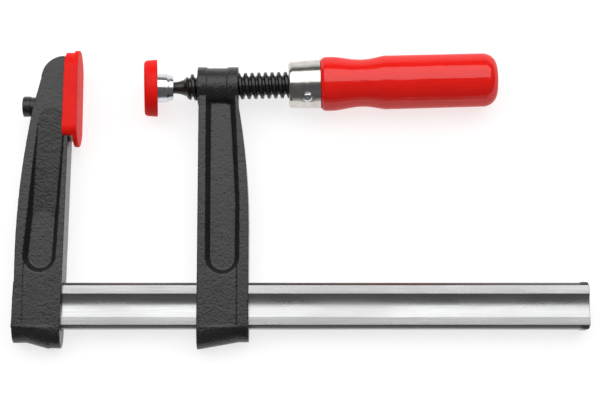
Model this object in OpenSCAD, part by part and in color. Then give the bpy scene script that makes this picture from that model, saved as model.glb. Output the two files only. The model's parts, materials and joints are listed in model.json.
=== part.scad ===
// Screw clamp for woodwork, lying on its side.
// Working frame: x runs along the rail from the fixed jaw, y goes from the rail's throat
// edge up the arms, and z = 0 is the middle plane. The last module sets it on the table.

/* [Rail] */
// Height of the rail between its two narrow edges
rail_h = 22.8; // [22:0.1:23.4]
// Thickness of the rail
rail_t = 10.6; // [10:0.1:11]
// Chamfer on the rail's long edges
rail_chamfer = 1.7; // [1:0.1:2]
// Width of the hollow rolled into each flat
groove_w = 11.3; // [8:0.1:13]
// Depth of that hollow
groove_d = 1.1; // [0.5:0.1:1.5]
// Length of rail from the fixed jaw to its free end
rail_reach = 257.8; // [220:0.5:300]

/* [Arms] */
// Throat depth, from the rail to the spindle
throat = 99.5; // [96:0.1:104]
// Thickness of both arms
arm_t = 15.8; // [15:0.1:17]
// Thickness of the web between the pockets
web_t = 6.4; // [4:0.1:9]
// Depth of the sunk panel beside each back rib
panel_d = 0.7; // [0.3:0.1:1]
// Where the sliding arm stands on the rail
slider_x = 65; // [62:0.5:90]
// Width of the sliding arm along the rail
slider_w = 25.6; // [24:0.1:27]
// Gap between the rail and the sliding arm's slot, each side
rail_gap = 0.3; // [0.2:0.05:0.5]

/* [Spindle] */
// Diameter over the thread
thread_d = 13.4; // [12.5:0.1:14]
// Diameter at the bottom of the thread
root_d = 9.6; // [9:0.1:10.5]
// Distance between two turns of the thread
pitch = 3.35; // [3:0.05:4]
// Radial clearance of the thread in its boss
thread_fit = 0.05; // [0.02:0.01:0.1]
// Lean of the spindle away from the rail at the handle end
spindle_lean = 1.5; // [0:0.1:2]
// Diameter of the ball at the spindle's end
ball_d = 9.2; // [8.8:0.1:9.4]

/* [Pressure plate] */
// Diameter of the red cap on the plate
pad_d = 28.7; // [27:0.1:30]
// Thickness of that cap
pad_t = 6.7; // [6:0.1:8]
// Outer diameter of the steel cup at its flange
cup_d = 15.1; // [14.6:0.1:16]
// Yaw of the plate on its ball, its face turned up from the table
pad_yaw = 5; // [0:1:5]

/* [Handle] */
// Largest diameter of the handle
handle_d = 27.2; // [25:0.1:29]
// Diameter at its waist
waist_d = 23.8; // [21:0.1:26]
// Diameter of the ferrule at its open end
ferrule_d = 24.5; // [23:0.1:25]
// Diameter of the pin's domed heads
pin_head_d = 5.1; // [4:0.1:6]
// Angle of the pin from the clamp's flat side
pin_turn = 45; // [0:5:180]

/* [Hidden] */
$fn = 96;

iron = [0.16, 0.16, 0.17];
steel = [0.78, 0.79, 0.80];
dark_steel = [0.22, 0.21, 0.20];
nickel = [0.62, 0.60, 0.57];
red = [0.86, 0.08, 0.05];

half_t = arm_t / 2;
rail_mid = -rail_h / 2;
heel_y = -22;        // where the arms' flat sides end and their rounded heels begin
heel_drop = 10.05;   // depth of a heel below that line

// The lengths below are stations along the spindle, from the middle of its boss.
boss_x = slider_x + 9.5;
boss_back = -10.2;
boss_front = 10.3;
ball_s = -28.4;
pad_s = -37.3;
lip_s = -23.2;
thread_start = -16.2;
ferrule_s = 35.5;
handle_s = 51.3;
handle_end = 140.5;
pin_s = 44.8;

// ---------- helpers ----------

// A section drawn as (y, z), drawn out along x
module along_x(x0, x1) {
  translate([x0, 0, 0]) rotate([90, 0, 90]) linear_extrude(x1 - x0) children();
}

// A side view drawn as (x, y), as thick as t
module slab(t) {
  linear_extrude(t, center = true) children();
}

// A round bar along x
module bar(r, x0, x1) {
  translate([x0, 0, 0]) rotate([0, 90, 0]) cylinder(r = r, h = x1 - x0);
}

// Things built along +z stand on the spindle's leaning axis
module on_spindle() {
  translate([boss_x, throat, 0]) rotate([0, 0, spindle_lean]) rotate([0, 90, 0]) children();
}

// A turned shape from (radius, station) points
module turned(points) {
  rotate_extrude() polygon(points);
}

module both_sides() {
  children();
  mirror([0, 0, 1]) children();
}

// Points of an arc about (cx, cy) from angle a0 to a1
function arc(cx, cy, r, a0, a1, steps) =
  [for (i = [0:steps]) let (a = a0 + (a1 - a0) * i / steps) [cx + r * cos(a), cy + r * sin(a)]];

// How far a bowed edge of radius r has moved in at distance d from its flat point
function bow(r, d) = r - sqrt(r * r - d * d);

// ---------- rail ----------

// Section of the rail, grown all round by g
module rail_section(g = 0) {
  z = rail_t / 2 + g;
  c = rail_chamfer;
  polygon([[g, c - z], [g, z - c], [-c, z], [c - rail_h, z], [-g - rail_h, z - c],
           [-g - rail_h, c - z], [c - rail_h, -z], [-c, -z]]);
}

// The long round bars that leave the shallow hollows
module rail_hollows(x0, x1) {
  r = (groove_w * groove_w / 4 + groove_d * groove_d) / (2 * groove_d);
  both_sides() translate([0, rail_mid, rail_t / 2 - groove_d + r]) bar(r, x0, x1);
}

module solid_rail(x0, x1) {
  difference() {
    along_x(x0, x1) rail_section();
    rail_hollows(x0 - 1, x1 + 1);
  }
}

// Small ridge swaged up on a narrow edge, the stop for the sliding arm
module end_stop() {
  stop_h = 0.4;
  slab(rail_t - 2 * rail_chamfer - 1)
    polygon([[rail_reach - 4.6, -1], [rail_reach - 4.2, stop_h],
             [rail_reach - 1.6, stop_h], [rail_reach - 1, -1]]);
}

module rail() color(steel) {
  corner = 1.1;
  intersection() {
    solid_rail(-19, rail_reach);
    slab(rail_t + 2) polygon([[-20, 1], [rail_reach - corner, 1], [rail_reach, -corner],
                              [rail_reach, corner - rail_h], [rail_reach - corner, -rail_h - 1],
                              [-20, -rail_h - 1]]);
  }
  end_stop();
  translate([0, -rail_h, 0]) mirror([0, 1, 0]) end_stop();
}

// ---------- arms ----------

// The rounded foot of an arm from x0 to x1, sinking by y0 to y1 along the way
module heel(x0, x1, y0, y1) {
  run = x1 - x0;
  slope = atan((y1 - y0) / run);
  intersection() {
    translate([x0, heel_y + y0, 0]) rotate([0, 0, slope]) along_x(-4, run + 4)
      polygon([for (a = [0:10:180]) [-heel_drop * sin(a), half_t * cos(a)]]);
    translate([x0, heel_y - 2 * heel_drop, -arm_t]) cube([run, 2.6 * heel_drop, 2 * arm_t]);
  }
}

// A pocket with sloping walls, cut from outline child 0 at the side to child 1 at the floor
module pocket() {
  both_sides() hull() {
    translate([0, 0, half_t + 1]) linear_extrude(0.1) children(0);
    translate([0, 0, web_t / 2]) linear_extrude(0.1) children(1);
  }
}

// The sunk panel over the rail: flush at x_flush, deepest against the rib at x_rib
module panel(x_flush, x_rib, y0, y1) {
  both_sides() translate([0, y0, 0]) rotate([-90, 0, 0]) mirror([0, 1, 0]) linear_extrude(y1 - y0)
    polygon([[x_flush, half_t], [x_rib, half_t - panel_d], [x_rib, half_t + 2], [x_flush, half_t + 2]]);
}

// Inner face of the fixed arm: it toes in a little towards the tip
function fixed_face(y) = -0.95 + 0.018 * y;
// Its back edge bows in towards the head
function fixed_back(y) = -24.6 + bow(420, max(0, y - 10));
// Back edge of the sliding arm
function slider_back(y) = slider_x + slider_w - 0.2 - bow(370, max(0, y - 26));

head_x = -2.2;
head_y = 102.2;
head_r = 11.5;
heel_face = -1.5;    // inner face below the rail
jaw_back = -1.4;     // where the wide jaw starts
jaw_face = 2.4;      // its steel face, inside the cap
jaw_r = 10.1;        // half of the jaw's width
jaw_top = 105.4;     // middle of its round top
jaw_low = 73.7;      // its lowest edge
jaw_corner = 4;      // radius of its two lower corners

// Side view of the fixed arm above its heel
module fixed_side() {
  polygon(concat(
    [[-25.5, heel_y - 0.5], [heel_face, heel_y - 0.5], [fixed_face(0), 0],
     [fixed_face(jaw_low - 1), jaw_low - 1], [jaw_face, jaw_low + 1]],
    arc(head_x, head_y, head_r, acos((jaw_face - head_x) / head_r), 180, 12),
    [for (y = [88:-8:0]) [fixed_back(y), y]],
    [[-24.9, -0.6]]));
}

// Front view of the jaw, (y, z), grown all round by g: round on top, with two round lower corners
module jaw_shape(g = 0) {
  corner = jaw_corner + g;
  hull() {
    translate([jaw_top, 0]) circle(jaw_r + g, $fn = 32);
    for (side = [-1, 1]) translate([jaw_low + jaw_corner, side * (jaw_r - jaw_corner)])
      circle(corner, $fn = 32);
  }
}

// The round stub on the fixed arm's back
module stub() {
  translate([0, 89.2, 0]) {
    bar(4.7, -19.8, -12);
    bar(5.15, -23.4, -19.6);
  }
}

// What the head loses where it rounds off to fit inside the cap
module head_corners() {
  along_x(jaw_back - 0.5, 5) difference() {
    translate([100, -half_t - 1]) square([20, arm_t + 2]);
    jaw_shape();
  }
}

// Long pocket whose floor climbs gently until it runs out in the arm's side, short of the head
module fixed_pocket() {
  both_sides() hull() {
    pocket_disc(-12.5, 12.6, 8.6, half_t + 1);
    pocket_disc(-8.1, 80, 7.2, half_t + 1);
    pocket_disc(-12.5, 13, 6, web_t / 2);
    pocket_disc(-11.4, 30, 5.8, web_t / 2);
    pocket_disc(-8.1, 80, 6.6, half_t - 0.1);
  }
}

module pocket_disc(x, y, r, z) {
  translate([x, y, z]) linear_extrude(0.1) circle(r, $fn = 32);
}

module fixed_arm() color(iron) {
  difference() {
    union() {
      difference() {
        slab(arm_t) fixed_side();
        head_corners();
        fixed_pocket();
      }
      heel(-25.3, -18.6, 2.4, 2.6);
      heel(-18.8, -7.6, 3, -0.1);
      heel(-7.8, heel_face, -0.1, -0.2);
      along_x(jaw_back, jaw_face) jaw_shape();
      stub();
    }
    panel(-3, -20.3, heel_y, 9);
    along_x(-19, 5) rail_section();
  }
}

// Side view of the sliding arm above its heel
module slider_side() {
  x0 = slider_x;
  x1 = slider_x + slider_w;
  polygon(concat(
    [[x0, heel_y - 0.5], [x1, heel_y - 0.5]],
    [for (y = [-8, 8, 28, 38, 48, 58, 68, 78, 90]) [slider_back(y), y]],
    [[x0 + 18.5, throat], [x0 + 0.6, throat], [x0, 86]]));
}

module boss() {
  translate([boss_x, throat, 0]) {
    bar(9.35, boss_back, boss_front);
    bar(9.9, boss_back, boss_back + 4.6);
    bar(9.9, boss_front - 5.4, boss_front);
  }
}

module sliding_arm() color(iron) {
  x0 = slider_x;
  rib = x0 + 19.8;
  difference() {
    union() {
      difference() {
        union() {
          slab(arm_t) slider_side();
          heel(x0, rib, -0.7, 2.8);
          heel(rib - 0.1, x0 + slider_w, 2.8, 2.8);
        }
        pocket() {
          hull() {
            translate([x0 + 12.4, 11.9]) circle(8.8, $fn = 32);
            translate([x0 + 16.2, 40]) circle(4.9, $fn = 32);
            translate([x0 + 3.3, 84]) square([15, throat - 84]);
          }
          hull() {
            translate([x0 + 12.4, 12.2]) circle(6.2, $fn = 32);
            translate([x0 + 15.2, 40]) circle(3.6, $fn = 32);
            translate([x0 + 6, 84]) square([9.4, throat - 87]);
          }
        }
        panel(x0 + 1, rib, heel_y, 8);
      }
      boss();
    }
    along_x(x0 - 1, x0 + slider_w + 1) rail_section(rail_gap);
    on_spindle() translate([0, 0, -20]) cylinder(d = thread_d + 2 * thread_fit, h = 40);
  }
}

// ---------- jaw cap ----------

cap_t = 1.3;         // wall of the cap round the jaw
cap_face = 5;        // outer face of the cap
face_top = 106.4;    // middle of the face's round top
face_low = 80;       // middle of its round lower end

// Front view of the cap's face, (y, z)
module cap_oval() {
  hull() for (y = [face_low, face_top]) translate([y, 0]) circle(jaw_r + cap_t, $fn = 32);
}

// Slip-on plastic cover: a dished tray with a longer, round-ended face
module jaw_cap() color(red) {
  difference() {
    union() {
      intersection() {
        along_x(-3, cap_face - 0.2) jaw_shape(cap_t);
        slab(60) polygon([[-2.7, 60], [-1.7, 120], [cap_face, 120], [cap_face, 60]]);
      }
      along_x(jaw_face + 0.2, cap_face) cap_oval();
    }
    along_x(-4, jaw_face) jaw_shape();
    translate([-4, 60, -half_t]) cube([jaw_face + 4, 26, arm_t]);
  }
}

// ---------- spindle ----------

// One turn of thread as a round-crested ring at station s
module thread_ring(s) {
  crest = 0.28 * pitch;
  foot = 0.62 * pitch;
  translate([0, 0, s]) turned([[1, -foot / 2], [root_d / 2, -foot / 2],
    [thread_d / 2 - 0.3, -crest / 2], [thread_d / 2, -crest / 4], [thread_d / 2, crest / 4],
    [thread_d / 2 - 0.3, crest / 2], [root_d / 2, foot / 2], [1, foot / 2]]);
}

module spindle() color(dark_steel) on_spindle() difference() {
  threaded_bar();
  pin_shank(1.75);
}

module threaded_bar() {
  neck_r = 2.9;
  turns = floor((ferrule_s - thread_start) / pitch);
  translate([0, 0, ball_s]) sphere(d = ball_d);
  turned([[0, ball_s], [neck_r, ball_s], [neck_r, -23], [3.05, -21.4], [3.5, -19.4],
          [4.2, -17.4], [root_d / 2, thread_start - 0.4], [root_d / 2, ferrule_s + 3],
          [tang_r, ferrule_s + 3], [tang_r, 96], [tang_r - 1, 97], [0, 97]]);
  for (i = [0:turns - 1]) thread_ring(thread_start + (i + 0.5) * pitch);
}

// ---------- pressure plate ----------

ring_r = 5.5;        // outer radius of the retaining ring, on the ball's centre
ball_fit = 0.05;

// Retaining ring: a slice of a round shell, snapped over the ball's shoulder
module ball_ring() color(steel) on_spindle() translate([0, 0, ball_s])
  rotate_extrude() intersection() {
    difference() {
      circle(ring_r);
      circle(ball_d / 2 + ball_fit);
    }
    translate([3.4, 1.5]) square([3, 1.5]);
  }

cup_back = pad_s + pad_t;
flange_r = 12.4;
flange_s = pad_s + 2.6;
flange_t = 2.4;

// The plate and its cap stand yawed on the ball
module on_pad() {
  on_spindle() translate([0, 0, ball_s]) rotate([0, pad_yaw, 0]) translate([0, 0, -ball_s]) children();
}

// Steel cup with a rolled-in lip, and a flange that the cap snaps over
module pressure_plate() color(steel) on_pad() {
  difference() {
    turned([[0, flange_s], [flange_r, flange_s], [flange_r, flange_s + flange_t],
            [cup_d / 2, flange_s + flange_t], [cup_d / 2 - 0.5, -25.9], [cup_d / 2 - 1.1, -24.7],
            [5.9, lip_s + 0.1], [5.4, lip_s], [0, lip_s]]);
    translate([0, 0, ball_s]) {
      sphere(r = ball_d / 2 + ball_fit);
      rotate_extrude() intersection() {
        circle(ring_r + ball_fit);
        square([10, 10]);
      }
      cylinder(r = 4.6, h = 12);
    }
  }
}

// Red cap over the plate's flange
module plate_cap() color(red) on_pad() {
  r = pad_d / 2;
  difference() {
    turned([[0, pad_s], [r - 1.9, pad_s], [r - 0.9, pad_s + 0.4], [r - 0.3, pad_s + 1.3],
            [r - 0.1, pad_s + 2.4], [r, cup_back - 0.3], [r - 0.3, cup_back], [0, cup_back]]);
    translate([0, 0, flange_s]) cylinder(r = flange_r, h = flange_t);
    translate([0, 0, flange_s]) cylinder(r = cup_d / 2, h = 10);
  }
}

// ---------- handle ----------

tang_r = 4.5;
ferrule_taper = 0.6;
ferrule_end = handle_s + 0.3;

// The pin's shank, as a cutter or as the real thing
module pin_shank(r) {
  translate([0, 0, pin_s]) rotate([0, 0, pin_turn]) rotate([0, 90, 0])
    cylinder(r = r, h = ferrule_d + 2, center = true);
}

// Nickel-plated sleeve, closed towards the thread
module ferrule() color(nickel) on_spindle() difference() {
  r0 = ferrule_d / 2 - ferrule_taper;
  r1 = ferrule_d / 2;
  s = ferrule_s;
  wall = 1;
  turned([[root_d / 2 + 0.2, s], [r0 - 1.5, s], [r0 - 0.5, s + 0.4], [r0, s + 1.4], [r1, ferrule_end],
          [r1 - wall, ferrule_end], [r0 - wall, s + 1.8], [r0 - wall - 0.5, s + wall],
          [root_d / 2 + 0.2, s + wall]]);
  pin_shank(1.75);
}

// Turned wooden grip with a bulge, a waist and a long barrel
module handle() color(red) on_spindle() difference() {
  R = handle_d / 2;
  dip = (handle_d - waist_d) / 2;
  bulge_s = handle_s + 1.9;
  ridge_s = 84.6;
  end_r = 7;
  tenon_r = ferrule_d / 2 - 1.65;
  bore_r = tang_r + 0.02;
  waist = [for (i = [1:15]) let (t = i / 16, s = bulge_s + 4 + t * (ridge_s - bulge_s - 4))
           [R - dip * pow(sin(180 * pow(t, 1.15)), 1.4), s]];
  turned(concat(
    [[bore_r, ferrule_s + 4], [tenon_r - 1, ferrule_s + 4], [tenon_r, ferrule_s + 5],
     [tenon_r, handle_s + 0.4], [R - 1.4, handle_s + 0.4], [R - 0.2, bulge_s], [R, bulge_s + 1.5]],
    waist,
    [[R - 0.05, ridge_s], [R - 0.2, handle_end - end_r]],
    arc(R - 0.2 - end_r, handle_end - end_r, end_r, 10, 90, 8),
    [[0, handle_end], [0, 97.5], [bore_r, 97.5]]));
  pin_shank(1.75);
}

// Cross pin through ferrule, wood and tang, with a domed head each side
module handle_pin() color(steel) on_spindle() {
  seat = ferrule_d / 2 - 0.45;
  translate([0, 0, pin_s]) rotate([0, 0, pin_turn]) rotate([0, 90, 0])
    cylinder(r = 1.7, h = 2 * seat + 1, center = true);
  difference() {
    pin_heads(seat);
    turned([[0, ferrule_s], [ferrule_d / 2 - ferrule_taper, ferrule_s + 1.4], [ferrule_d / 2, ferrule_end],
            [0, ferrule_end]]);
  }
}

module pin_heads(seat) {
  r = pin_head_d / 2;
  translate([0, 0, pin_s]) for (side = [0, 180]) rotate([0, 0, pin_turn + side])
    translate([seat, 0, 0]) rotate([0, 90, 0])
      turned([[0, -0.4], [r, -0.4], [r, 0.25], [r - 0.5, 0.8], [r - 1.3, 1.15], [0, 1.3]]);
}

// ---------- on the table ----------

// The clamp rolls onto its pressure plate and its heels
pad_y = throat + pad_s * sin(spindle_lean);
pad_drop = pad_d / 2 * cos(pad_yaw) - (ball_s - cup_back) * sin(pad_yaw);
roll = asin((pad_drop - half_t) / (pad_y - heel_y));
tip_y = face_top + jaw_r + cap_t;
low_y = -32.9;

module on_table() {
  translate([(25.5 - rail_reach) / 2, -(tip_y + low_y) / 2, half_t - heel_y * sin(roll)])
    rotate([roll, 0, 0]) children();
}

on_table() rail();
on_table() fixed_arm();
on_table() jaw_cap();
on_table() sliding_arm();
on_table() spindle();
on_table() ball_ring();
on_table() pressure_plate();
on_table() plate_cap();
on_table() ferrule();
on_table() handle();
on_table() handle_pin();
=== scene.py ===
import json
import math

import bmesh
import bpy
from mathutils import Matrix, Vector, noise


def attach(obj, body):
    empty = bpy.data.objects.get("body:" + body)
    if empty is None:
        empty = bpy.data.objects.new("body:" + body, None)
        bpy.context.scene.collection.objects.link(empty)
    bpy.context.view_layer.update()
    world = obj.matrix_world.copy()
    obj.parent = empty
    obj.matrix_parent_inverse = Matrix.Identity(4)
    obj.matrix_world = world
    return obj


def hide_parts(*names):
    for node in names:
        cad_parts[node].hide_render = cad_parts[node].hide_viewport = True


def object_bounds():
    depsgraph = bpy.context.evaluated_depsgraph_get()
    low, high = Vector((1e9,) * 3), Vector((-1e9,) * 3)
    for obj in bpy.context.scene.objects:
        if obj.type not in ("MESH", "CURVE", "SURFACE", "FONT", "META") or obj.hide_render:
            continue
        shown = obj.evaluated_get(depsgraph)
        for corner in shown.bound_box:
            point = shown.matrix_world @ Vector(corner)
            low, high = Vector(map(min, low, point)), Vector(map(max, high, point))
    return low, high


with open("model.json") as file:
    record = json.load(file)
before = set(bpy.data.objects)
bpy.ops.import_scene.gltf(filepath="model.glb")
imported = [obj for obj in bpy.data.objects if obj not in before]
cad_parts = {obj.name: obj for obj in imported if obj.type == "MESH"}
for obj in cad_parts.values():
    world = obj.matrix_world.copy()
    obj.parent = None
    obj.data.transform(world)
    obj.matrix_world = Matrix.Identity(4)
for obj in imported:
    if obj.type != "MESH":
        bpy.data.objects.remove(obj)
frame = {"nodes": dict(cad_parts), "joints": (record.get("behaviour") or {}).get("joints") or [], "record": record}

# The looks of an F clamp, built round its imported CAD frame. Blender's lengths are metres. The
# shapes are written in millimetres, which MM turns into metres.
# Three frames are used to build in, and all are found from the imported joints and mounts:
#   clamp frame    x along the rail from the fixed jaw, y up the arms from the rail's throat
#                  edge, z out of the clamp's flat side
#   spindle frame  z along the spindle to the handle from the middle of its boss, x into the
#                  flat side, so that a turned piece is a profile of (radius, station)
#   pad frame      the spindle frame turned about the ball, as the pressure plate stands on it

MM = 0.001
cad_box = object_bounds()
record = frame["record"]
joints = {joint["name"]: joint for joint in frame["joints"]}
mounts = {mount["name"]: mount for mount in record["mounts"]}
body_of_node = {node: body for body, nodes in record["behaviour"]["bodies"].items() for node in nodes}

# ---------- sizes, in millimetres ----------
# A name ending in _R is a radius, _H a height, _T a thickness, _L a length, and _S, _START or
# _END a place along the rail or the spindle.

BOSS = (74.5, 99.5, 0)          # middle of the spindle's boss in the clamp frame
RAIL_START, RAIL_END = -19, 257.8
RAIL_H, RAIL_T = 22.8, 10.6
RAIL_CHAMFER, CHAMFER_DEPTH = 1.7, 1.45
HOLLOW_W, HOLLOW_D = 11.3, 1.1
TOOTH_PITCH = 1.1               # serrations on the rail's narrow edges
TOOTH_DEPTH = 0.28
STOP_H, STOP_L, STOP_RAMP = 0.4, 4.8, 1.2       # swaged stops at the rail's free end
CORNER_L, CORNER_SLOPE = 1.1, 1.91              # cut corners of that end

THREAD_R, ROOT_R, PITCH = 6.7, 4.8, 3.35
THREAD_START = -15.6
RUN_IN_START, RUN_IN_L = THREAD_START - 2, 4.6  # where the thread grows out of the trumpet
FLARE_START, FLARE_POWER = -23, 2.3             # the trumpet between neck and thread
NECK_START, NECK_R = -24.8, 2.9
BALL_S, BALL_R = -28.4, 4.6
TANG_R, TANG_END = 4.5, 97

PAD_S, PAD_R, PAD_T = -37.3, 14.35, 6.7
FLANGE_S, FLANGE_R = PAD_S + 2.6, 12.4
FLANGE_BACK = FLANGE_S + 2.4
CUP_R, SHOULDER_S = 7.55, -25.9
LIP_S, LIP_R = -23.2, 5.3
RING_SEAT_S, RING_SEAT_R = -25.6, 5.55

FERRULE_S, FERRULE_END = 35.5, 51.6
FERRULE_R, FERRULE_TAPER = 12.25, 0.6
THREAD_END = FERRULE_S + 3                      # the tang begins here
PIN_S, PIN_TURN, PIN_HEAD_R = 44.8, 45, 2.55
DENT_R, DENT_SLOPE, DENT_DEPTH = 4.8, 3.2, 0.22  # the ferrule round a pin head
HANDLE_S, HANDLE_END, HANDLE_R = 51.3, 140.5, 13.6
BULGE_S, WAIST_R, RIDGE_S = HANDLE_S + 5.9, 11.9, 84.6
BORE_R = TANG_R + 0.03                          # the handle's bore round the tang


# ---------- the frames to build in ----------

def axes_matrix(x, y, z, origin):
    """The matrix whose axes are x, y and z and whose origin is there."""
    matrix = Matrix((x, y, z)).transposed().to_4x4()
    matrix.translation = origin
    return matrix


def find_frames():
    """The clamp, spindle and pad frames as matrices, in that order."""
    boss = Vector(joints["screw_turn"]["pos_m"])
    out_of_side = Vector(joints["pad_swivel"]["axis"]).normalized()
    along_rail = Vector(joints["arm_slide"]["axis"]).normalized()
    up_arms = out_of_side.cross(along_rail)
    to_handle = -Vector(joints["screw_turn"]["axis"]).normalized()
    clamp = axes_matrix(along_rail, up_arms, out_of_side, (0, 0, 0))
    clamp.translation = boss - clamp.to_3x3() @ (Vector(BOSS) * MM)
    spindle = axes_matrix(-out_of_side, to_handle.cross(-out_of_side), to_handle, boss)
    ball = Vector(joints["pad_swivel"]["pos_m"])
    off_face = -Vector(mounts["pressure_face"]["axis"]).normalized()
    across = spindle.to_3x3().col[1].cross(off_face).normalized()
    pad = axes_matrix(across, off_face.cross(across), off_face, ball - off_face * BALL_S * MM)
    return clamp, spindle, pad


ON_CLAMP, ON_SPINDLE, ON_PAD = find_frames()


# ---------- mesh helpers ----------

WELD = 0.002                    # points this close, in millimetres, are one point


def loft(name, rings, looped=False):
    """A skin through closed rings of points, capped at both ends or looped back to its start."""
    size = len(rings[0])
    faces = []
    bands = len(rings) if looped else len(rings) - 1
    for i in range(bands):
        a, b = i * size, (i + 1) % len(rings) * size
        faces += [(a + j, a + (j + 1) % size, b + (j + 1) % size, b + j) for j in range(size)]
    if not looped:
        faces += [tuple(range(size)), tuple(range(bands * size, (bands + 1) * size))]
    mesh = bpy.data.meshes.new(name)
    mesh.from_pydata([Vector(p) * MM for ring in rings for p in ring], [], faces)
    return welded(mesh)


def welded(mesh):
    """The mesh with its doubled points joined and its faces turned outwards."""
    bm = bmesh.new()
    bm.from_mesh(mesh)
    bmesh.ops.remove_doubles(bm, verts=bm.verts, dist=WELD * MM)
    bmesh.ops.dissolve_degenerate(bm, edges=bm.edges, dist=WELD / 2 * MM)
    bmesh.ops.recalc_face_normals(bm, faces=bm.faces)
    bm.to_mesh(mesh)
    bm.free()
    return mesh


def rounded(points, radius, steps=4):
    """The same open outline with every corner turned into a short curve."""
    share = 0.45                # the most of an edge that a corner's curve may take
    points = [Vector(p) for p in points]
    result = [points[0]]
    for before, corner, after in zip(points, points[1:], points[2:]):
        cut_in = min(radius, (before - corner).length * share)
        cut_out = min(radius, (after - corner).length * share)
        start = corner + (before - corner).normalized() * cut_in
        end = corner + (after - corner).normalized() * cut_out
        for k in range(steps + 1):
            t = k / steps
            result.append(start * (1 - t) ** 2 + corner * 2 * t * (1 - t) + end * t * t)
    return result + [points[-1]]


def turned(name, profile, segments=96, looped=False, shape=None):
    """A turned shape from (radius, station) points; shape may change each point's radius."""
    rings = []
    for r, s in profile:
        ring = []
        for i in range(segments):
            angle = 2 * math.pi * i / segments
            radius = shape(r, s, angle) if shape else r
            ring.append((radius * math.cos(angle), radius * math.sin(angle), s))
        rings.append(ring)
    return loft(name, rings, looped)


def evenly(start, end, step):
    """Evenly spaced values from start to end, about a step apart."""
    count = max(1, round(abs(end - start) / step))
    return [start + (end - start) * i / count for i in range(count + 1)]


def smooth_step(t):
    """0 up to t = 0, 1 from t = 1 on, and a soft slope between them."""
    t = min(1, max(0, t))
    return t * t * (3 - 2 * t)


def show(node, mesh, at, material, crease=30):
    """Puts a mesh, built in the frame given as at, in place of a CAD node and on its body."""
    mesh.transform(at)
    piece = bpy.data.objects.new(node + "_look", mesh)
    bpy.context.scene.collection.objects.link(piece)
    mesh.materials.clear()
    mesh.materials.append(material)
    mesh.shade_smooth()
    mesh.set_sharp_from_angle(angle=math.radians(crease))
    flats = piece.modifiers.new("true_flats", "WEIGHTED_NORMAL")
    flats.keep_sharp = True
    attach(piece, body_of_node[node])
    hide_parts(node)


# ---------- material helpers ----------

class Finish:
    """A procedural material: short calls for the nodes used here, measured in millimetres."""

    def __init__(self, name, **surface):
        self.material = bpy.data.materials.new(name)
        self.material.use_nodes = True
        self.nodes = self.material.node_tree.nodes
        self.links = self.material.node_tree.links
        self.surface = self.nodes["Principled BSDF"]
        for socket, value in surface.items():
            self.surface.inputs[socket.replace("_", " ")].default_value = value
        self.place = self.nodes.new("ShaderNodeTexCoord").outputs["Object"]

    def node(self, kind, sources=(), **values):
        """A node of that kind; sources are (input, output) pairs, and values are plain inputs."""
        node = self.nodes.new("ShaderNode" + kind)
        for socket, value in values.items():
            node.inputs[socket.replace("_", " ")].default_value = value
        for socket, output in sources:
            self.links.new(output, node.inputs[socket])
        return node

    def millimetres(self, stretch):
        """The place on the piece in millimetres, each axis times its stretch."""
        mapping = self.node("Mapping", [("Vector", self.place)])
        mapping.inputs["Scale"].default_value = [1000 * s for s in stretch]
        return mapping.outputs["Vector"]

    def noise(self, scale, detail=3, stretch=(1, 1, 1), distortion=0):
        """Soft noise with scale waves to a millimetre."""
        place = self.millimetres(stretch)
        made = self.node("TexNoise", [("Vector", place)], Scale=scale, Detail=detail, Distortion=distortion)
        return made.outputs["Fac"]

    def cells(self, scale):
        """Distance from the middles of scattered cells, scale of them to a millimetre."""
        place = self.millimetres((1, 1, 1))
        return self.node("TexVoronoi", [("Vector", place)], Scale=scale).outputs["Distance"]

    def remap(self, value, low, high, to_low, to_high):
        """value from low to high becomes to_low to to_high."""
        made = self.node("MapRange", [("Value", value)],
                         From_Min=low, From_Max=high, To_Min=to_low, To_Max=to_high)
        return made.outputs["Result"]

    def edges(self, low, high):
        """1 on sharp outer edges, 0 on flat and hollow places."""
        return self.remap(self.nodes.new("ShaderNodeNewGeometry").outputs["Pointiness"], low, high, 0, 1)

    def slanted(self, flat, steep):
        """0 where a face lies flat along the clamp's side and 1 where it slants away from it."""
        normal = self.nodes.new("ShaderNodeTexCoord").outputs["Normal"]
        upright = self.node("VectorMath", [(0, normal)])
        upright.operation = "DOT_PRODUCT"
        upright.inputs[1].default_value = ON_CLAMP.col[2][:3]
        height = self.node("Math", [(0, upright.outputs["Value"])])
        height.operation = "ABSOLUTE"
        return self.remap(height.outputs["Value"], flat, steep, 0, 1)

    def tint(self, value, *stops):
        """A colour from (position, colour) stops."""
        ramp = self.node("ValToRGB", [("Fac", value)])
        elements = ramp.color_ramp.elements
        while len(elements) < len(stops):
            elements.new(0.5)
        for element, (position, colour) in zip(elements, stops):
            element.position = position
            element.color = (*colour, 1)
        return ramp.outputs["Color"]

    def mix(self, amount, first, colour):
        """first where amount is 0, and the plain colour where it is 1."""
        factor, colour_a, colour_b = 0, 6, 7    # the node's sockets once it mixes colours
        node = self.node("Mix")
        node.data_type = "RGBA"
        self.links.new(amount, node.inputs[factor])
        self.links.new(first, node.inputs[colour_a])
        node.inputs[colour_b].default_value = (*colour, 1)
        return node.outputs[2]

    def bump(self, height, depth, under=None):
        """Bumps of that depth in millimetres, on top of other bumps if given."""
        sources = [("Height", height)] + ([("Normal", under)] if under else [])
        return self.node("Bump", sources, Distance=depth * MM).outputs["Normal"]

    def set(self, **outputs):
        """Links outputs to the surface's sockets and returns the finished material."""
        for socket, output in outputs.items():
            self.links.new(output, self.surface.inputs[socket.replace("_", " ")])
        return self.material


# ---------- materials ----------

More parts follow.
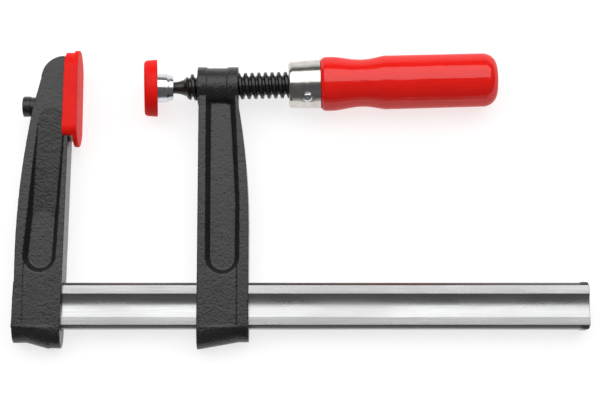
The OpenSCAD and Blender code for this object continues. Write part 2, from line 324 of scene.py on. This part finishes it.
def powder_coat():
    """Satin black coat over a cast skin, with an orange-peel grain, and a painted highlight on the outer edges,
    where the coat is also a little rubbed.
    """
    f = Finish("powder_coat", Metallic=0, Specular_IOR_Level=0.5)
    grain = f.noise(0.95, detail=2, distortion=0.3)
    fine = f.noise(2.2, detail=2)
    swell = f.noise(0.15, detail=2)
    coat = f.tint(f.noise(0.12, detail=4), (0.3, (0.010, 0.010, 0.0105)), (0.7, (0.016, 0.016, 0.017)))
    coat = f.mix(f.remap(grain, 0.45, 0.75, 0, 0.5), coat, (0.03, 0.03, 0.031))
    # painted highlight: the outer edges are made lighter by pointiness, standing in for light caught on their
    # fillets, with a little rubbed paint
    coat = f.mix(f.edges(0.53, 0.62), coat, (0.04, 0.04, 0.042))
    rough = f.remap(grain, 0.3, 0.7, 0.22, 0.36)
    skin = f.bump(grain, 0.22, under=f.bump(fine, 0.05))
    return f.set(Base_Color=coat, Roughness=rough, Normal=f.bump(swell, 0.15, under=skin))


def red_plastic():
    """Soft satin plastic with a moulded grain."""
    f = Finish("red_plastic", Metallic=0, Specular_IOR_Level=0.02, Subsurface_Weight=0.05,
               Coat_Weight=0.06, Coat_IOR=2, Coat_Roughness=0.35)
    f.surface.inputs["Subsurface Radius"].default_value = (0.002, 0.0005, 0.0003)
    colour = f.tint(f.noise(0.16, detail=4), (0.3, (0.78, 0.009, 0.006)), (0.7, (0.86, 0.013, 0.008)))
    colour = f.mix(f.remap(f.noise(2.5, detail=2), 0.55, 0.8, 0, 0.25), colour, (0.6, 0.008, 0.005))
    rough = f.remap(f.noise(0.5, detail=4), 0.3, 0.7, 0.34, 0.48)
    return f.set(Base_Color=colour, Roughness=rough, Normal=f.bump(f.noise(4, detail=2), 0.02))


def red_lacquer():
    """Gloss lacquer on turned wood: faint grain and turning rings under a clear skin."""
    f = Finish("red_lacquer", Metallic=0, Specular_IOR_Level=0.02,
               Coat_Weight=0.22, Coat_IOR=2.4, Coat_Roughness=0.07)
    grain = f.noise(1.3, detail=5, stretch=(0.05, 1, 1), distortion=0.6)
    colour = f.tint(grain, (0.32, (0.74, 0.006, 0.004)), (0.62, (0.86, 0.010, 0.006)))
    colour = f.mix(f.remap(f.noise(0.08, detail=3), 0.35, 0.7, 0, 0.35), colour, (0.84, 0.018, 0.010))
    rings = f.noise(2.2, detail=2, stretch=(1, 0.02, 0.02))
    skin = f.bump(rings, 0.012, under=f.bump(grain, 0.03))
    skin = f.bump(f.noise(0.09, detail=2), 0.15, under=skin)
    rough = f.remap(f.noise(0.35, detail=5), 0.35, 0.75, 0.24, 0.4)
    return f.set(Base_Color=colour, Roughness=rough, Normal=skin, Coat_Normal=skin)


def drawn_steel():
    """Bright steel drawn lengthwise: streaks, cloudy patches, scuffs, and painted shade on the chamfers and
    serrated edges, which slant away from the flat sides.
    """
    f = Finish("drawn_steel", Metallic=1)
    streaks = f.noise(1.6, detail=5, stretch=(0.03, 1, 1))
    clouds = f.noise(0.05, detail=5, stretch=(0.5, 1, 1))
    speckle = f.noise(2.2, detail=3)
    colour = f.tint(streaks, (0.3, (0.41, 0.413, 0.416)), (0.7, (0.48, 0.483, 0.486)))
    colour = f.mix(f.remap(clouds, 0.45, 0.75, 0, 0.5), colour, (0.39, 0.388, 0.385))
    colour = f.mix(f.remap(speckle, 0.62, 0.8, 0, 0.35), colour, (0.30, 0.297, 0.293))
    # painted shade: faces slanting away from the flat sides (chamfers and serrated edges) are darkened by their
    # slant
    colour = f.mix(f.slanted(0.9, 0.8), colour, (0.18, 0.178, 0.175))
    rough = f.remap(clouds, 0.3, 0.7, 0.2, 0.34)
    skin = f.bump(streaks, 0.012, under=f.bump(speckle, 0.008))
    return f.set(Base_Color=colour, Roughness=rough, Normal=skin)


def black_oxide():
    """Blackened, lightly oiled steel, worn a little brighter on the thread's crests."""
    f = Finish("black_oxide", Metallic=0.1, Specular_IOR_Level=0.6)
    cloud = f.noise(0.35, detail=4)
    colour = f.tint(cloud, (0.3, (0.008, 0.0075, 0.007)), (0.7, (0.014, 0.013, 0.012)))
    colour = f.mix(f.edges(0.55, 0.7), colour, (0.05, 0.046, 0.043))
    rough = f.remap(f.noise(0.9, detail=4), 0.3, 0.7, 0.2, 0.34)
    return f.set(Base_Color=colour, Roughness=rough, Normal=f.bump(f.noise(2.5, detail=3), 0.025))


def plated(name, dark, light, rough_low, rough_high, pitting):
    """Plated steel: cloudy tone, small pits and faint rings left by turning."""
    pit_shade = 0.55            # of the dark tone
    f = Finish(name, Metallic=1)
    cloud = f.noise(0.22, detail=5)
    pits = f.cells(1.4)
    colour = f.tint(cloud, (0.3, dark), (0.7, light))
    colour = f.mix(f.remap(pits, 0.16, 0.05, 0, 0.5), colour, tuple(pit_shade * c for c in dark))
    rough = f.remap(f.noise(0.8, detail=4), 0.3, 0.7, rough_low, rough_high)
    rings = f.bump(f.noise(3, detail=2, stretch=(1, 0.02, 0.02)), 0.006)
    skin = f.bump(f.noise(1.1, detail=4), pitting, under=rings)
    return f.set(Base_Color=colour, Roughness=rough, Normal=skin)


def pale_floor():
    """A pale table top that glows a little, as a light table does, so that shadows stay faint."""
    f = Finish("pale_floor", Metallic=0, Specular_IOR_Level=0.1, Emission_Strength=0.74)
    f.surface.inputs["Emission Color"].default_value = (1, 1, 1, 1)
    colour = f.tint(f.noise(0.004, detail=3), (0.3, (0.34, 0.34, 0.34)), (0.7, (0.36, 0.36, 0.36)))
    rough = f.remap(f.noise(0.02, detail=3), 0.3, 0.7, 0.85, 0.95)
    return f.set(Base_Color=colour, Roughness=rough)


# ---------- castings and moulded caps ----------

def recast(node, voxel, rounds):
    """The CAD node's shape with every edge softened, as a casting or moulding comes out."""
    source = bpy.data.objects.new("source", frame["nodes"][node].data.copy())
    bpy.context.scene.collection.objects.link(source)
    remesh = source.modifiers.new("remesh", "REMESH")
    remesh.mode = "VOXEL"
    remesh.voxel_size = voxel * MM
    soften = source.modifiers.new("soften", "SMOOTH")
    soften.factor = 0.5
    soften.iterations = rounds
    evaluated = source.evaluated_get(bpy.context.evaluated_depsgraph_get())
    mesh = bpy.data.meshes.new_from_object(evaluated)
    bpy.data.objects.remove(source)
    return mesh


def roughen(mesh, lumps, lump_size):
    """Pushes a casting's skin in and out, mostly in, by up to about lumps millimetres."""
    inward = 0.3
    push = [v.normal * lumps * MM * (noise.noise(v.co / (lump_size * MM)) - inward) for v in mesh.vertices]
    for vertex, offset in zip(mesh.vertices, push):
        vertex.co += offset


def make_arms(coat):
    voxel = 0.4
    for node in ("fixed_arm", "sliding_arm"):
        mesh = recast(node, voxel, rounds=4)
        roughen(mesh, lumps=0.05, lump_size=1.6)
        show(node, mesh, Matrix(), coat, crease=60)


def make_jaw_cap(plastic):
    show("jaw_cap", recast("jaw_cap", 0.3, rounds=9), Matrix(), plastic, crease=60)


# ---------- rail ----------

def rail_half_section():
    """(y, z) points down one side of the rail: edge, chamfer, land, hollow, land, chamfer, edge."""
    top = RAIL_T / 2
    mid = -RAIL_H / 2
    radius = (HOLLOW_W ** 2 / 4 + HOLLOW_D ** 2) / (2 * HOLLOW_D)
    reach = math.asin(HOLLOW_W / 2 / radius)
    clear = 0.9 * reach         # short of the hollow's edges, which are rounded below
    hollow = []
    for angle in evenly(clear, -clear, reach / 5):
        hollow.append((mid + radius * math.sin(angle), top - HOLLOW_D + radius * (1 - math.cos(angle))))
    corners = [(0, 0), (0, top - CHAMFER_DEPTH), (-RAIL_CHAMFER, top), (mid + HOLLOW_W / 2, top), hollow[0]]
    upper = [tuple(p) for p in rounded(corners, 0.2, steps=2)][:-1]
    lower = [(-RAIL_H - y, z) for y, z in reversed(upper)]
    return upper + hollow + lower


def rail_section():
    """The closed section: down one side and back up the other."""
    half = rail_half_section()
    return half[:-1] + [(y, -z) for y, z in reversed(half[1:])]


def tooth(x):
    """How far a serration dips at x: a rounded valley between two narrow lands."""
    steepness, land = 1.3, 0.25
    return smooth_step(steepness * abs(math.sin(math.pi * x / TOOTH_PITCH)) - land)


def edge_lift(x):
    """Height of the swaged stop on the narrow edge near the rail's free end."""
    from_end = RAIL_END - x
    return STOP_H * smooth_step((STOP_L - from_end) / STOP_RAMP)


def rail_point(x, y, z):
    """A section point at x, with serrations, stop and cut corner worked into the narrow edges."""
    middle = -RAIL_H / 2
    side = 1 if y > middle else -1
    height = abs(y - middle)
    worked_from = RAIL_H / 2 - RAIL_CHAMFER - 0.15
    nearness = smooth_step((height - worked_from) / RAIL_CHAMFER)
    height += nearness * (edge_lift(x) - TOOTH_DEPTH * tooth(x))
    corner_limit = RAIL_H / 2 + 1 - CORNER_SLOPE * max(0, x - (RAIL_END - CORNER_L))
    return (x, middle + side * min(height, corner_limit), z)


def make_rail(steel):
    section = rail_section()
    bevel = 0.2                 # the free end's broken edge: its length, and how small it gets
    shrink = 0.97
    stations = evenly(RAIL_START, RAIL_END - bevel, TOOTH_PITCH / 4)
    rings = [[rail_point(x, y, z) for y, z in section] for x in stations]
    last = [rail_point(RAIL_END, y, z) for y, z in section]
    middle = Vector((RAIL_END, -RAIL_H / 2, 0))
    rings.append([middle + (Vector(p) - middle) * shrink for p in last])
    show("rail", loft("rail", rings), ON_CLAMP, steel, crease=24)


# ---------- spindle ----------

def thread_height(turn):
    """0 in the root and 1 on the crest, for a position in turns."""
    foot, flank = 0.78, 0.46    # where a flank ends and how wide it is, in half pitches
    away = abs(turn - math.floor(turn) - 0.5) * 2
    return smooth_step((foot - away) / flank)


def core_radius(s):
    """Radius of the spindle without its ball and thread: neck, trumpet, core, tang."""
    if s < THREAD_START:
        flare = max(0, (s - FLARE_START) / (THREAD_START - FLARE_START))
        return NECK_R + (ROOT_R - NECK_R) * flare ** FLARE_POWER
    return ROOT_R if s < THREAD_END else TANG_R


def spindle_point(r, s, angle):
    """Adds the right-hand thread, growing out of the trumpet in its first turn."""
    if s > THREAD_END or s < FLARE_START:
        return r
    turn = (s - THREAD_START) / PITCH - angle / (2 * math.pi)
    growth = smooth_step((s - RUN_IN_START) / RUN_IN_L)
    return r + (THREAD_R - ROOT_R) * thread_height(turn) * growth


def make_spindle(oxide):
    ball = []
    for degrees in evenly(-90, 50, 7):
        angle = math.radians(degrees)
        ball.append((BALL_R * math.cos(angle), BALL_S + BALL_R * math.sin(angle)))
    coarse, fine = 0.3, 0.14    # steps along the plain neck and along the thread
    stations = evenly(NECK_START, RUN_IN_START - 0.4, coarse) + evenly(RUN_IN_START - 0.2, THREAD_END, fine)
    stations += [THREAD_END + 0.01, TANG_END - 1]
    profile = [(0, BALL_S - BALL_R)] + ball[1:] + [(core_radius(s), s) for s in stations]
    profile += [(TANG_R - 0.8, TANG_END), (0, TANG_END)]
    show("spindle", turned("spindle", profile, 72, shape=spindle_point), ON_SPINDLE, oxide, crease=40)


# ---------- pressure plate ----------

def make_pressure_plate(zinc):
    hole_r = 4.65
    outside = [(0, FLANGE_S), (FLANGE_R, FLANGE_S), (FLANGE_R, FLANGE_BACK), (CUP_R + 0.35, FLANGE_BACK),
               (CUP_R, FLANGE_BACK + 0.6), (CUP_R - 0.5, SHOULDER_S), (CUP_R - 1.05, SHOULDER_S + 1.15),
               (LIP_R + 0.8, LIP_S + 0.6), (LIP_R + 0.4, LIP_S + 0.1), (LIP_R, LIP_S)]
    inside = [(hole_r + 0.2, LIP_S), (hole_r, LIP_S - 0.5), (hole_r, RING_SEAT_S + 0.6),
              (RING_SEAT_R - 0.2, RING_SEAT_S), (RING_SEAT_R, BALL_S)]
    socket = BALL_R + 0.05
    bowl = [(socket * math.cos(a), BALL_S - socket * math.sin(a)) for a in evenly(0, math.pi / 2, 0.16)]
    profile = rounded(outside, 0.35) + rounded(inside, 0.15, 2)[1:] + bowl
    show("pressure_plate", turned("pressure_plate", profile), ON_PAD, zinc)


def make_plate_cap(plastic):
    back = PAD_S + PAD_T
    fit = 0.02                  # gap between the cap and the flange inside it
    outside = [(0, PAD_S), (PAD_R - 2, PAD_S), (PAD_R - 0.9, PAD_S + 0.45), (PAD_R - 0.35, PAD_S + 1.6),
               (PAD_R, back - 0.25), (PAD_R - 0.4, back), (CUP_R + 0.35, back), (CUP_R + 0.1, back - 0.25)]
    inside = [(CUP_R + 0.05, FLANGE_BACK + fit), (FLANGE_R + fit, FLANGE_BACK + fit),
              (FLANGE_R + fit, FLANGE_S - fit), (0, FLANGE_S - fit)]
    profile = rounded(outside, 0.5) + inside
    show("plate_cap", turned("plate_cap", profile, 112), ON_PAD, plastic, crease=40)


# ---------- handle ----------

def dent(angle, s):
    """1 under a pin head, where riveting has pressed the ferrule in, and 0 away from it."""
    turn = math.radians(PIN_TURN)
    away = min(abs(math.remainder(angle - turn - side, 2 * math.pi)) for side in (0, math.pi))
    distance = math.hypot(away * FERRULE_R, s - PIN_S)
    return smooth_step((DENT_R - distance) / DENT_SLOPE)


def ferrule_point(r, s, angle):
    """Dents the sleeve's side and leaves the hole in its closed end round."""
    return r - DENT_DEPTH * dent(angle, s) if r > FERRULE_R / 2 else r


def make_ferrule(nickel):
    wall, taper_l = 0.9, 18
    r0, r1 = FERRULE_R - FERRULE_TAPER, FERRULE_R
    hole_r = ROOT_R + 0.2
    shoulder = [(hole_r, FERRULE_S), (r0 - 1.3, FERRULE_S), (r0 - 0.45, FERRULE_S + 0.35),
                (r0, FERRULE_S + 1.5)]
    stations = evenly(FERRULE_S + 2.2, FERRULE_END - 0.5, 0.5)
    side = [(r0 + (r1 - r0) * smooth_step((s - FERRULE_S) / taper_l), s) for s in stations]
    mouth = [(r1, FERRULE_END - 0.15), (r1 - 0.2, FERRULE_END), (r1 - wall, FERRULE_END)]
    inner = [(r0 - wall, FERRULE_S + 1.8), (r0 - wall - 0.6, FERRULE_S + 1), (hole_r, FERRULE_S + 1)]
    profile = rounded(shoulder, 0.6) + side + mouth + inner
    show("ferrule", turned("ferrule", profile, 144, looped=True, shape=ferrule_point), ON_SPINDLE, nickel)


def grip_radius(s):
    """Bulge, waist and crisp shoulder of the grip."""
    if s <= BULGE_S:
        return HANDLE_R
    if s < RIDGE_S:
        lean, pinch = 1.15, 1.4     # the waist sits towards the ridge, and its ends run out softly
        t = (s - BULGE_S) / (RIDGE_S - BULGE_S)
        return HANDLE_R - (HANDLE_R - WAIST_R) * math.sin(math.pi * t ** lean) ** pinch
    step, taper = 0.05, 0.15
    return HANDLE_R - step - taper * (s - RIDGE_S) / (HANDLE_END - RIDGE_S)


def make_handle(lacquer):
    end_r = 7
    tenon_r = FERRULE_R - 1.65
    tenon_s, seat_s = FERRULE_S + 4, HANDLE_S + 0.4
    front = [(BORE_R, tenon_s), (tenon_r, tenon_s), (tenon_r, seat_s), (tenon_r + 1, seat_s),
             (HANDLE_R - 1.3, seat_s + 0.05), (HANDLE_R - 0.15, HANDLE_S + 2), (HANDLE_R, HANDLE_S + 3)]
    grip = [(grip_radius(s), s) for s in evenly(HANDLE_S + 4, HANDLE_END - end_r, 1.2)]
    centre_r, centre_s = grip_radius(HANDLE_END) - end_r, HANDLE_END - end_r
    end = []
    for angle in evenly(0.15, 1.5, 0.15):
        end.append((centre_r + end_r * math.cos(angle), centre_s + end_r * math.sin(angle)))
    lathe_mark = [(0.8, HANDLE_END), (0.5, HANDLE_END - 0.25), (0, HANDLE_END - 0.3)]
    bore = [(0, TANG_END + 0.5), (BORE_R, TANG_END + 0.5)]
    profile = rounded(front, 0.3, 3) + grip + end + [(centre_r - 3, HANDLE_END)] + lathe_mark
    mesh = turned("handle", profile + bore, 112, looped=True)
    show("handle", mesh, ON_SPINDLE, lacquer, crease=40)


def make_handle_pin(zinc):
    """Shank along its own z, with a peened dome at each end."""
    shank_r = 1.7
    seat = FERRULE_R - 0.55
    dome_r, dome_h, dome_s = PIN_HEAD_R - 0.15, 1.1, seat + 0.65
    head = [(shank_r, seat), (PIN_HEAD_R - 0.1, seat), (PIN_HEAD_R, seat + 0.3), (dome_r, dome_s)]
    for angle in evenly(0.2, 1.25, 0.15):
        head.append((dome_r * math.cos(angle), dome_s + dome_h * math.sin(angle)))
    head += [(0.45, seat + 1.62), (0, seat + 1.58)]
    profile = [(r, -s) for r, s in reversed(head)] + head
    turn = Matrix.Rotation(math.radians(PIN_TURN), 4, "Z")
    across = ON_SPINDLE @ Matrix.Translation((0, 0, PIN_S * MM)) @ turn
    mesh = turned("handle_pin", profile, 48)
    show("handle_pin", mesh, across @ Matrix.Rotation(math.radians(90), 4, "Y"), zinc, crease=40)


# ---------- stage, light and camera ----------

CENTRE = (cad_box[0] + cad_box[1]) / 2
VIEW_TILT = 9.2                 # degrees from square on to the clamp's flat side
VIEW_DISTANCE = 790             # millimetres
VIEW_CENTRE = (115.7, 41.65, 0)  # what the camera looks at, in the clamp frame
LENS, SENSOR = 95.09, 36


def add_area_light(name, size, angle, distance, radiance, in_reflections):
    """A soft box facing the clamp, angle degrees from overhead towards the arms' tips.

    Its size and distance are in metres.
    """
    light = bpy.data.lights.new(name, "AREA")
    light.shape = "RECTANGLE"
    light.size, light.size_y = size
    light.energy = radiance * math.pi * size[0] * size[1]
    box = bpy.data.objects.new(name, light)
    bpy.context.scene.collection.objects.link(box)
    turn = Matrix.Rotation(math.radians(-angle), 4, "X")
    box.matrix_world = Matrix.Translation(CENTRE) @ turn @ Matrix.Translation((0, 0, distance))
    box.visible_glossy = in_reflections
    box.visible_camera = False


def make_world():
    """Dim grey room in reflections, pale behind the clamp."""
    world = bpy.data.worlds.new("room")
    bpy.context.scene.world = world
    world.use_nodes = True
    nodes, links = world.node_tree.nodes, world.node_tree.links
    room = nodes["Background"]
    room.inputs["Color"].default_value = (0.12, 0.12, 0.12, 1)
    backdrop = nodes.new("ShaderNodeBackground")
    backdrop.inputs["Color"].default_value = (0.9, 0.9, 0.9, 1)
    mix = nodes.new("ShaderNodeMixShader")
    links.new(nodes.new("ShaderNodeLightPath").outputs["Is Camera Ray"], mix.inputs["Fac"])
    links.new(room.outputs["Background"], mix.inputs[1])
    links.new(backdrop.outputs["Background"], mix.inputs[2])
    links.new(mix.outputs["Shader"], nodes["World Output"].inputs["Surface"])


def make_floor():
    half = 3.0                  # metres
    corners = [(-half, -half, 0), (half, -half, 0), (half, half, 0), (-half, half, 0)]
    mesh = bpy.data.meshes.new("floor")
    mesh.from_pydata(corners, [], [(0, 1, 2, 3)])
    floor = bpy.data.objects.new("floor", mesh)
    bpy.context.scene.collection.objects.link(floor)
    mesh.materials.append(pale_floor())


def make_camera():
    """A camera a little below square on to the clamp's flat side, with the arms upright."""
    tilt = math.radians(VIEW_TILT)
    back = ON_CLAMP.to_3x3() @ Vector((0, -math.sin(tilt), math.cos(tilt)))
    up = ON_CLAMP.to_3x3() @ Vector((0, math.cos(tilt), math.sin(tilt)))
    target = ON_CLAMP @ (Vector(VIEW_CENTRE) * MM)
    lens = bpy.data.cameras.new("camera")
    lens.lens = LENS
    lens.sensor_width = SENSOR
    camera = bpy.data.objects.new("camera", lens)
    bpy.context.scene.collection.objects.link(camera)
    camera.matrix_world = axes_matrix(up.cross(back), up, back, target + back * VIEW_DISTANCE * MM)
    bpy.context.scene.camera = camera


def make_stage():
    bpy.context.scene.view_settings.view_transform = "Standard"
    make_world()
    make_floor()
    add_area_light("soft_box", (2.4, 1.05), 26, 1.0, 2.0, True)
    add_area_light("back_wall", (3.0, 0.5), 86, 1.5, 0.6, True)
    add_area_light("fill", (2.5, 2.5), 0, 1.6, 0.25, False)
    make_camera()


# ---------- the clamp ----------

def make_clamp():
    coat = powder_coat()
    plastic = red_plastic()
    zinc = plated("bright_zinc", (0.56, 0.58, 0.62), (0.74, 0.76, 0.8), 0.12, 0.26, 0.006)
    nickel = plated("nickel", (0.52, 0.49, 0.46), (0.68, 0.65, 0.62), 0.12, 0.24, 0.006)
    make_arms(coat)
    make_jaw_cap(plastic)
    make_rail(drawn_steel())
    make_spindle(black_oxide())
    make_pressure_plate(zinc)
    make_plate_cap(plastic)
    make_ferrule(nickel)
    make_handle(red_lacquer())
    make_handle_pin(zinc)
    ring = frame["nodes"]["ball_ring"].data
    ring.materials.clear()
    ring.materials.append(plated("spring_steel", (0.3, 0.3, 0.31), (0.42, 0.42, 0.43), 0.25, 0.4, 0.02))


make_stage()
make_clamp()
